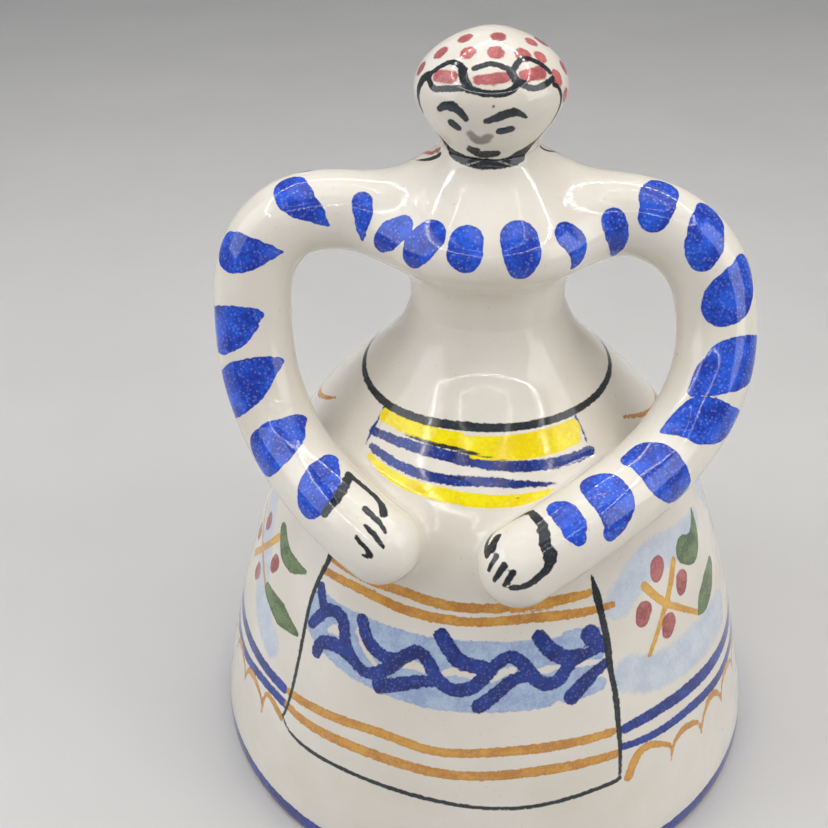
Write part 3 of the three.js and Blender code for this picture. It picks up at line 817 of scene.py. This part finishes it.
def glazeMaterial(name, colours):
    # cream glaze, then each colour over it where its paint depth, roughened by noise, passes 1
    material, tree, shader, coords = newMaterial(name)
    cloud = noise(tree, coords, glazeLook["cloudScale"], 3)
    colour = mixColour(tree, ramp(tree, cloud, *glazeLook["cloudRamp"]), glazeLook["ivory"],
                       glazeLook["cream"])
    grain = noise(tree, coords, glazeLook["grainScale"], 3, 0.6)
    colour = mixColour(tree, ramp(tree, grain, *glazeLook["grainRamp"]), colour, glazeLook["thin"])
    specks = node(tree, "ShaderNodeTexVoronoi", {"Vector": coords, "Scale": glazeLook["speckScale"]})
    chance = node(tree, "ShaderNodeSeparateColor", {0: specks.outputs["Color"]}).outputs[0]
    rare = calc(tree, "GREATER_THAN", chance, glazeLook["speckRarity"])
    speck = calc(tree, "MULTIPLY", ramp(tree, specks.outputs["Distance"], *glazeLook["speckRamp"]), rare)
    speckShare = calc(tree, "MULTIPLY", speck, glazeLook["speckCover"])
    colour = mixColour(tree, speckShare, colour, glazeLook["speck"])
    edgeNoise = noise(tree, coords, glazeLook["edgeScale"], 4, 0.62)
    tone = noise(tree, coords, glazeLook["toneScale"], 3, 0.6)
    fine = noise(tree, coords, glazeLook["fineScale"], 3, 0.65)
    fleckCells = node(tree, "ShaderNodeTexVoronoi", {"Vector": coords, "Scale": glazeLook["fleckScale"]})
    fleck = ramp(tree, fleckCells.outputs["Distance"], *glazeLook["fleckRamp"])
    wobble = calc(tree, "SUBTRACT", edgeNoise, 0.5)
    painted = None
    dry = None
    for key in colours:
        look = paintLooks[key]
        depth = node(tree, "ShaderNodeAttribute", attribute_name=key).outputs["Fac"]
        rough = calc(tree, "ADD", depth, calc(tree, "MULTIPLY", wobble, 2 * look["ragged"]))
        mask = ramp(tree, rough, 1 - look["soft"], 1 + look["soft"])
        shade = calc(tree, "ADD", calc(tree, "MULTIPLY", tone, glazeLook["toneShare"]),
                     calc(tree, "MULTIPLY", fine, glazeLook["fineShare"]))
        paint = mixColour(tree, ramp(tree, shade, *glazeLook["shadeRamp"]), look["dark"], look["light"])
        pooled = calc(tree, "MULTIPLY", ramp(tree, rough, *glazeLook["poolRamp"]), glazeLook["poolCover"])
        paint = mixColour(tree, pooled, paint, look["dark"])
        if look["fleck"]:
            pale = tuple(glazeLook["paler"] * part + glazeLook["palest"] for part in look["light"])
            flecked = calc(tree, "MULTIPLY", fleck, look["fleck"] * glazeLook["fleckCover"])
            paint = mixColour(tree, flecked, paint, pale)
        colour = mixColour(tree, calc(tree, "MULTIPLY", mask, look["cover"]), colour, paint)
        painted = mask if painted is None else calc(tree, "MAXIMUM", painted, mask)
        if key == "bare":
            dry = mask
    tree.links.new(colour, shader.inputs["Base Color"])
    patches = noise(tree, coords, glazeLook["glossScale"], 2)
    gloss = calc(tree, "MULTIPLY_ADD", patches, glazeLook["glossChange"])
    gloss.node.inputs[2].default_value = glazeLook["roughness"]
    if dry is not None:
        gloss = node(tree, "ShaderNodeMix", {0: dry, 2: gloss, 3: glazeLook["dryRoughness"]},
                     data_type="FLOAT").outputs[0]
    tree.links.new(gloss, shader.inputs["Roughness"])
    shader.inputs["IOR"].default_value = glazeLook["glassiness"]
    dimples = noise(tree, coords, glazeLook["dimpleScale"], 2)
    peel = noise(tree, coords, glazeLook["peelScale"], 2)
    height = calc(tree, "ADD", calc(tree, "MULTIPLY", dimples, glazeLook["dimpleDepth"]),
                  calc(tree, "MULTIPLY", peel, glazeLook["peelDepth"]))
    height = calc(tree, "SUBTRACT", height, calc(tree, "MULTIPLY", speck, glazeLook["speckDepth"]))
    if painted is not None:
        height = calc(tree, "ADD", height, calc(tree, "MULTIPLY", painted, glazeLook["paintDepth"]))
    bump = node(tree, "ShaderNodeBump", {"Height": height, "Strength": glazeLook["bumpStrength"],
                "Distance": metre})
    tree.links.new(bump.outputs[0], shader.inputs["Normal"])
    return material


def clayMaterial(name):
    # unglazed fired clay: sandy colour with fine grog
    material, tree, shader, coords = newMaterial(name)
    grain = noise(tree, coords, clayLook["grainScale"], 4, 0.7)
    tone = ramp(tree, noise(tree, coords, clayLook["toneScale"], 3), *clayLook["toneRamp"])
    colour = mixColour(tree, tone, clayLook["tan"], clayLook["sandy"])
    grit = node(tree, "ShaderNodeTexVoronoi", {"Vector": coords, "Scale": clayLook["gritScale"]})
    gritty = ramp(tree, grit.outputs["Distance"], *clayLook["gritRamp"])
    colour = mixColour(tree, gritty, colour, clayLook["grit"])
    tree.links.new(colour, shader.inputs["Base Color"])
    shader.inputs["Roughness"].default_value = clayLook["roughness"]
    bump = node(tree, "ShaderNodeBump", {"Height": grain, "Strength": clayLook["bumpStrength"],
                "Distance": clayLook["grainDepth"] * metre})
    tree.links.new(bump.outputs[0], shader.inputs["Normal"])
    return material


def steelMaterial(name):
    # drawn steel wire, dulled and browned in places
    material, tree, shader, coords = newMaterial(name)
    rust = ramp(tree, noise(tree, coords, steelLook["rustScale"], 4, 0.65), *steelLook["rustRamp"])
    browned = calc(tree, "MULTIPLY", rust, steelLook["rustCover"])
    colour = mixColour(tree, browned, steelLook["bright"], steelLook["rust"])
    tree.links.new(colour, shader.inputs["Base Color"])
    shader.inputs["Metallic"].default_value = 1.0
    gloss = node(tree, "ShaderNodeMapRange", {"Value": rust, "To Min": steelLook["clean"],
                 "To Max": steelLook["rusty"]}).outputs[0]
    tree.links.new(gloss, shader.inputs["Roughness"])
    drawn = node(tree, "ShaderNodeMapping", {"Vector": coords, "Scale": steelLook["drawnStretch"]}).outputs[0]
    bump = node(tree, "ShaderNodeBump", {"Height": noise(tree, drawn, 1.0, 3),
                "Strength": steelLook["bumpStrength"], "Distance": steelLook["drawnDepth"] * metre})
    tree.links.new(bump.outputs[0], shader.inputs["Normal"])
    return material


def addPiece(name, nodeName, points, faces, material, body, normals=None):
    piece = makeObject(name, points, faces, normals)
    wearPaint(piece, nodeName, points)
    piece.data.materials.append(material)
    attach(piece, body)
    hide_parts(nodeName)
    return piece


def coloursOn(nodeName):
    # the layers that a piece wears, from the thinnest wash to the lines drawn last
    worn = {stroke["colour"] for stroke in strokes if nodeName in stroke["pieces"]}
    return [key for key in paintLooks if key in worn]


def rowsAlong(curve, count, zones=(), gain=1.0):
    # places along an outline, closer together in the zones of height that carry fine painting
    middle = (curve[1:, 0] + curve[:-1, 0]) / 2
    weight = np.ones(len(middle))
    for low, high in zones:
        weight += gain * ((middle > low) & (middle < high))
    run = np.concatenate([[0], np.cumsum(np.linalg.norm(np.diff(curve, axis=0), axis=1) * weight)])
    at = np.linspace(0, run[-1], count)
    return np.stack([np.interp(at, run, curve[:, i]) for i in range(2)], 1)


print("building the skirt")
spread = skirtLook["frontSpread"]
angles = np.radians(np.concatenate([np.arange(-spread, spread, skirtLook["frontStep"]),
                                    np.arange(spread, 360 - spread, skirtLook["backStep"])]))
innerCurve = smoothLine(skirtLook["inside"], 300)[::-1]
foot = np.array([(0.22, skirtLook["footInner"] - 0.3), (0, skirtLook["footInner"]), (0, 41.2), (0, 42.3),
                 (0, skirtLook["footOuter"]), (0.3, skirtLook["footOuter"] + 0.45)])
outerRows = rowsAlong(smoothLine(skirtLook["outside"], 1200), skirtLook["outerRows"],
                      skirtLook["paintedZones"], skirtLook["zoneGain"])
top = outerRows[-1, 0]
innerRows = rowsAlong(innerCurve, skirtLook["innerRows"])
outline = np.vstack([innerRows, foot, outerRows, [(top, 7.0)]])
rings = turn(outline, angles)
heights = outline[:, 0]
inside = np.zeros(len(outline))
inside[:len(innerRows)] = 1
# the inside keeps its throwing rings, deeper on a side that turns as they climb, and the whole wall
# is a little out of round, with two lobes and three; both fade out towards the crown
ripple = skirtLook["throwingRing"] * np.sin(2 * np.pi * heights / skirtLook["ringPitch"])[:, None]
swirl = 1 + skirtLook["swirl"] * np.sin(angles + skirtLook["swirlClimb"] * heights[:, None])
turnedRipple = ripple * swirl * inside[:, None]
ringsLeft = np.clip((skirtLook["ringsEnd"] - heights) / skirtLook["ringsFade"], 0, 1)
fade = np.clip((skirtLook["wobbleEnd"] - heights) / skirtLook["wobbleFade"], 0, 1)
fade = fade * np.clip(heights / skirtLook["footFade"], 0, 1)
thirds = np.sin(3 * angles - skirtLook["lobeClimb"] * heights[:, None])
lobes = np.sin(2 * angles + skirtLook["wobbleTurn"]) + skirtLook["thirdLobe"] * thirds
uneven = skirtLook["wobble"] * lobes
shift = turnedRipple * ringsLeft[:, None] + uneven * fade[:, None]
rings[..., :2] *= (1 + shift / np.maximum(outline[:, 1], 5)[:, None])[..., None]
points, faces = closedMesh(rings, (0, 0, skirtLook["ceiling"]), (0, 0, top))
normals = np.zeros_like(points)
for arm in arms.values():
    points, found = blendJoint(points, arm.line, False)
    normals = np.where(found.any(1, keepdims=True), found, normals)
normals = seamNormals(points, normals, top)
skirtPiece = addPiece("painted_skirt", "skirt_bell", points, faces,
                      glazeMaterial("painted skirt glaze", coloursOn("skirt_bell") + ["bare"]), "bell",
                      normals)
# the foot is left bare where it would stick to the kiln shelf
radius = np.hypot(points[:, 0], points[:, 1])
footDepth = 1 + np.minimum(0.5 - points[:, 2], radius - skirtLook["footInner"] + 0.35)
attribute = skirtPiece.data.attributes.new("bare", "FLOAT", "POINT")
attribute.data.foreach_set("value", np.clip(footDepth, 0, brushLook["deepest"]).astype(np.float32))

print("building bust, head and arms")
bustAngles = np.linspace(-np.pi, np.pi, bustLook["columns"], endpoint=False)
hollow = np.array(bustLook["hollow"])
outline = np.vstack([hollow, rowsAlong(smoothLine(bustLook["outside"], 800), bustLook["rows"],
                                       bustLook["paintedZones"], bustLook["zoneGain"])])
rings = turn(outline, bustAngles)
points, faces = closedMesh(rings, (0, 0, bustLook["hollowTop"]), (0, 0, outline[-1, 0]))
normals = np.zeros_like(points)
for arm in arms.values():
    points, found = blendJoint(points, arm.line, False)
    normals = np.where(found.any(1, keepdims=True), found, normals)
normals = seamNormals(points, normals, outline[len(hollow), 0])
addPiece("painted_bust", "bust", points, faces, glazeMaterial("painted bust glaze", coloursOn("bust")),
         "bell", normals)

headAngles = np.linspace(-np.pi, np.pi, headLook["columns"], endpoint=False)
outline = rowsAlong(smoothLine(headLook["outside"] + [(headLook["top"], 0.05)], 800), headLook["rows"])[:-1]
points, faces = closedMesh(turn(outline, headAngles), (0, 0, outline[0, 0]),
                           (0, 0, headLook["top"]))
addPiece("painted_head", "head", points, faces, glazeMaterial("painted head glaze", coloursOn("head")),
         "bell")

for name, arm in arms.items():
    rings, tips = arm.rings()
    points, faces = closedMesh(rings, *tips)
    points, normals = blendJoint(points, arm.line, True)
    glaze = glazeMaterial("painted " + name.replace("_", " ") + " glaze", coloursOn(name))
    addPiece("painted_" + name, name, points, faces, glaze, "bell", normals)

print("building the clapper")
clapperLook = dict(
    lugRadius=1.7, lugSpan=3.6, lugBar=64.5, lugTop=71.8, weld=0.9, weldHeight=70.6, weldReach=0.7,
    ringRadius=3.8, ringWire=0.6, ringHeight=63.15, rod=0.8, eye=2.2, eyeHeight=58.75, eyeTurn=(-62, 242),
    curl=1.7, curlHeight=7.2, curlTurn=(122, 428), bead=7.0, beadHeight=17.0, bore=0.9,
    step=0.3, around=96, lugAround=40, wireAround=24,
)


def tube(line, radius, around, normal, closed=False):
    # circles square to a flat line, the first spoke pointing out of the line's plane
    along = unit(np.roll(line, -1, 0) - np.roll(line, 1, 0)) if closed else unit(np.gradient(line, axis=0))
    out = np.broadcast_to(np.asarray(normal, float), line.shape)
    third = np.cross(along, out)
    turns = np.linspace(0, 2 * np.pi, around, endpoint=False)
    radius = np.broadcast_to(radius, len(line))
    return line[:, None] + radius[:, None, None] * (np.cos(turns)[None, :, None] * out[:, None]
                                                    + np.sin(turns)[None, :, None] * third[:, None])


clay = clayMaterial("bare clay")
steel = steelMaterial("clapper wire steel")
half = np.linspace(np.pi, 2 * np.pi, 60)
span = clapperLook["lugSpan"]
arch = np.column_stack([span * np.cos(half), 0 * half, clapperLook["lugBar"] + span + span * np.sin(half)])
legs = np.linspace(clapperLook["lugTop"], arch[0, 2] + 0.1, 14)
line = np.vstack([np.column_stack([0 * legs - span, 0 * legs, legs]), arch,
                  np.column_stack([0 * legs + span, 0 * legs, legs[::-1]])])
# the loop thickens where it meets the ceiling
drop = np.clip(clapperLook["weldHeight"] - line[:, 2], 0, 9)
swell = clapperLook["lugRadius"] + clapperLook["weld"] * np.exp(-drop / clapperLook["weldReach"])
points, faces = closedMesh(tube(line, swell, clapperLook["lugAround"], (0, 1, 0)), line[0], line[-1])
addPiece("clay_lug", "clapper_lug", points, faces, clay, "bell")

circle = np.linspace(0, 2 * np.pi, clapperLook["around"], endpoint=False)
line = np.column_stack([0 * circle, clapperLook["ringRadius"] * np.cos(circle),
                        clapperLook["ringHeight"] + clapperLook["ringRadius"] * np.sin(circle)])
wire = tube(line, clapperLook["ringWire"], clapperLook["wireAround"], (1, 0, 0), True)
points, faces = closedMesh(wire, joined=True)
addPiece("wire_ring", "hanger_ring", points, faces, steel, "hanger")


def loopPoints(radius, height, first, last):
    # x = radius cos(a), z = height + radius sin(a), from the first angle to the last
    sweep = np.radians(np.linspace(first, last, 22))
    return [(radius * math.cos(a), 0, height + radius * math.sin(a)) for a in sweep]


eye = loopPoints(clapperLook["eye"], clapperLook["eyeHeight"], *clapperLook["eyeTurn"])
curl = loopPoints(clapperLook["curl"], clapperLook["curlHeight"], *clapperLook["curlTurn"])
shank = [(-0.28, 0, 56.3), (0, 0, 55.2), (0, 0, 50), (0, 0, 35), (0, 0, 20), (0, 0, 11), (-0.05, 0, 9.6)]
line, _run = evenLine(eye + shank + curl, clapperLook["step"])
wire = tube(line, clapperLook["rod"], clapperLook["wireAround"], (0, 1, 0))
points, faces = closedMesh(wire, line[0], line[-1])
addPiece("wire_clapper", "clapper_wire", points, faces, steel, "clapper")

lean = math.acos(clapperLook["bore"] / clapperLook["bead"])
sweep = np.linspace(-lean, lean, 72)
outline = np.column_stack([clapperLook["beadHeight"] + clapperLook["bead"] * np.sin(sweep),
                           clapperLook["bead"] * np.cos(sweep)])
boreHeights = np.linspace(outline[-1, 0] - 0.5, outline[0, 0] + 0.5, 12)
boreRows = np.column_stack([boreHeights, np.full(12, clapperLook["bore"])])
points, faces = closedMesh(turn(np.vstack([outline, boreRows]), circle), joined=True)
addPiece("glazed_bead", "clapper_ball", points, faces, glazeMaterial("bead glaze", []), "bead")

print("setting the table, lights and camera")
studioLook = dict(
    camera=(26.3, -149.3, 155.2), aim=(-6.19, -20.0, 66.67), roll=-1.388, lens=52.17,
    floor=(0.62, 0.61, 0.60), mottle=0.95, mottleScale=0.02, mottleRamp=(0.2, 0.8), floorRoughness=0.55,
    floorHole=43.3, floorSize=1.5, sky=(0.80, 0.82, 0.85), skyStrength=0.30,
    panels=(    # place, size, power, tint
        ("overhead panel", (60, 40, 640), 620, 1.4, (1.0, 0.985, 0.96)),
        ("left panel", (-420, -180, 330), 400, 1.05, (0.95, 0.975, 1.0)),
        ("right window", (430, -60, 260), 300, 0.7, (1.0, 0.99, 0.97)),
        ("panel below", (40, -120, -330), 260, 0.6, (1.0, 0.99, 0.97)),
    ),
    panelTarget=(0, 0, 60), belowTarget=(0, 0, 40),
    ringCentre=(16, -110, 330), lampCount=72, lampEdges=10,
    ringLamps=(    # ring radius, lamp radius, strength
        ("outer ring lamp", 235, 5.0, 46),
        ("inner ring lamp", 130, 2.2, 30),
    ),
)
floorMesh = bpy.data.meshes.new("table")
reach = studioLook["floorSize"]
floorMesh.from_pydata([(-reach, -reach, 0), (reach, -reach, 0), (reach, reach, 0), (-reach, reach, 0)], [],
                      [(0, 1, 2, 3)])
table = bpy.data.objects.new("table", floorMesh)
bpy.context.scene.collection.objects.link(table)
tableMaterial, tree, shader, coords = newMaterial("table top")
grain = ramp(tree, noise(tree, coords, studioLook["mottleScale"], 3), *studioLook["mottleRamp"])
mottle = tuple(studioLook["mottle"] * part for part in studioLook["floor"])
tree.links.new(mixColour(tree, grain, studioLook["floor"], mottle), shader.inputs["Base Color"])
shader.inputs["Roughness"].default_value = studioLook["floorRoughness"]
clear = node(tree, "ShaderNodeBsdfTransparent")
away = node(tree, "ShaderNodeVectorMath", {0: coords}, operation="LENGTH").outputs["Value"]
below = node(tree, "ShaderNodeNewGeometry").outputs["Backfacing"]
hidden = calc(tree, "MAXIMUM", below, calc(tree, "LESS_THAN", away, studioLook["floorHole"]))
seen = node(tree, "ShaderNodeMixShader", {0: hidden, 1: shader.outputs[0], 2: clear.outputs[0]})
tree.links.new(seen.outputs[0], tree.nodes["Material Output"].inputs["Surface"])
table.data.materials.append(tableMaterial)


def aimed(place, target, roll=0.0):
    direction = Vector(target) - Vector(place)
    return direction.to_track_quat("-Z", "Y") @ Quaternion((0, 0, 1), math.radians(roll))


def softLight(name, place, size, power, tint, target):
    # a square panel that faces the bell
    data = bpy.data.lights.new(name, "AREA")
    data.shape, data.size, data.energy, data.color = "SQUARE", size * metre, power, tint
    light = bpy.data.objects.new(name, data)
    light.location = Vector(place) * metre
    light.rotation_mode = "QUATERNION"
    light.rotation_quaternion = aimed(place, target)
    light.visible_camera = False
    bpy.context.scene.collection.objects.link(light)


def ringLamp(name, ring, radius, strength):
    # a level ring of small round lamps overhead, seen as sparkle in the glaze; each corner of a
    # lamp is the ring's point at the lamp's turn plus the lamp's radius at the corner's turn
    turns = np.linspace(0, 2 * np.pi, studioLook["lampCount"], endpoint=False)
    edge = np.linspace(0, 2 * np.pi, studioLook["lampEdges"], endpoint=False)
    flat = (ring * np.stack([np.cos(turns), np.sin(turns)], 1)[:, None]
            + radius * np.stack([np.cos(edge), -np.sin(edge)], 1)[None])
    spots = np.concatenate([flat, np.zeros(flat.shape[:2] + (1,))], 2).reshape(-1, 3)
    spots = (spots + np.array(studioLook["ringCentre"])) * metre
    mesh = bpy.data.meshes.new(name)
    mesh.from_pydata(spots.tolist(), [], np.arange(len(spots)).reshape(-1, len(edge)).tolist())
    lamp = bpy.data.objects.new(name, mesh)
    bpy.context.scene.collection.objects.link(lamp)
    material = bpy.data.materials.new(name + " glow")
    material.use_nodes = True
    tree = material.node_tree
    tree.nodes.clear()
    glow = node(tree, "ShaderNodeEmission", {"Color": (1, 0.98, 0.95, 1), "Strength": strength})
    node(tree, "ShaderNodeOutputMaterial", {"Surface": glow.outputs[0]})
    mesh.materials.append(material)
    lamp.visible_camera = False


for name, place, size, power, tint in studioLook["panels"]:
    target = studioLook["panelTarget"] if place[2] > 0 else studioLook["belowTarget"]
    softLight(name, place, size, power, tint, target)
for name, ring, radius, strength in studioLook["ringLamps"]:
    ringLamp(name, ring, radius, strength)

world = bpy.data.worlds.new("studio")
world.use_nodes = True
background = world.node_tree.nodes["Background"]
background.inputs["Color"].default_value = (*studioLook["sky"], 1)
background.inputs["Strength"].default_value = studioLook["skyStrength"]
bpy.context.scene.world = world
bpy.context.scene.view_settings.view_transform = "Standard"

cameraData = bpy.data.cameras.new("camera")
cameraData.lens, cameraData.sensor_width = studioLook["lens"], 36
cameraData.clip_start, cameraData.clip_end = 0.01, 20
camera = bpy.data.objects.new("camera", cameraData)
camera.location = Vector(studioLook["camera"]) * metre
camera.rotation_mode = "QUATERNION"
camera.rotation_quaternion = aimed(studioLook["camera"], studioLook["aim"], studioLook["roll"])
bpy.context.scene.collection.objects.link(camera)
bpy.context.scene.camera = camera
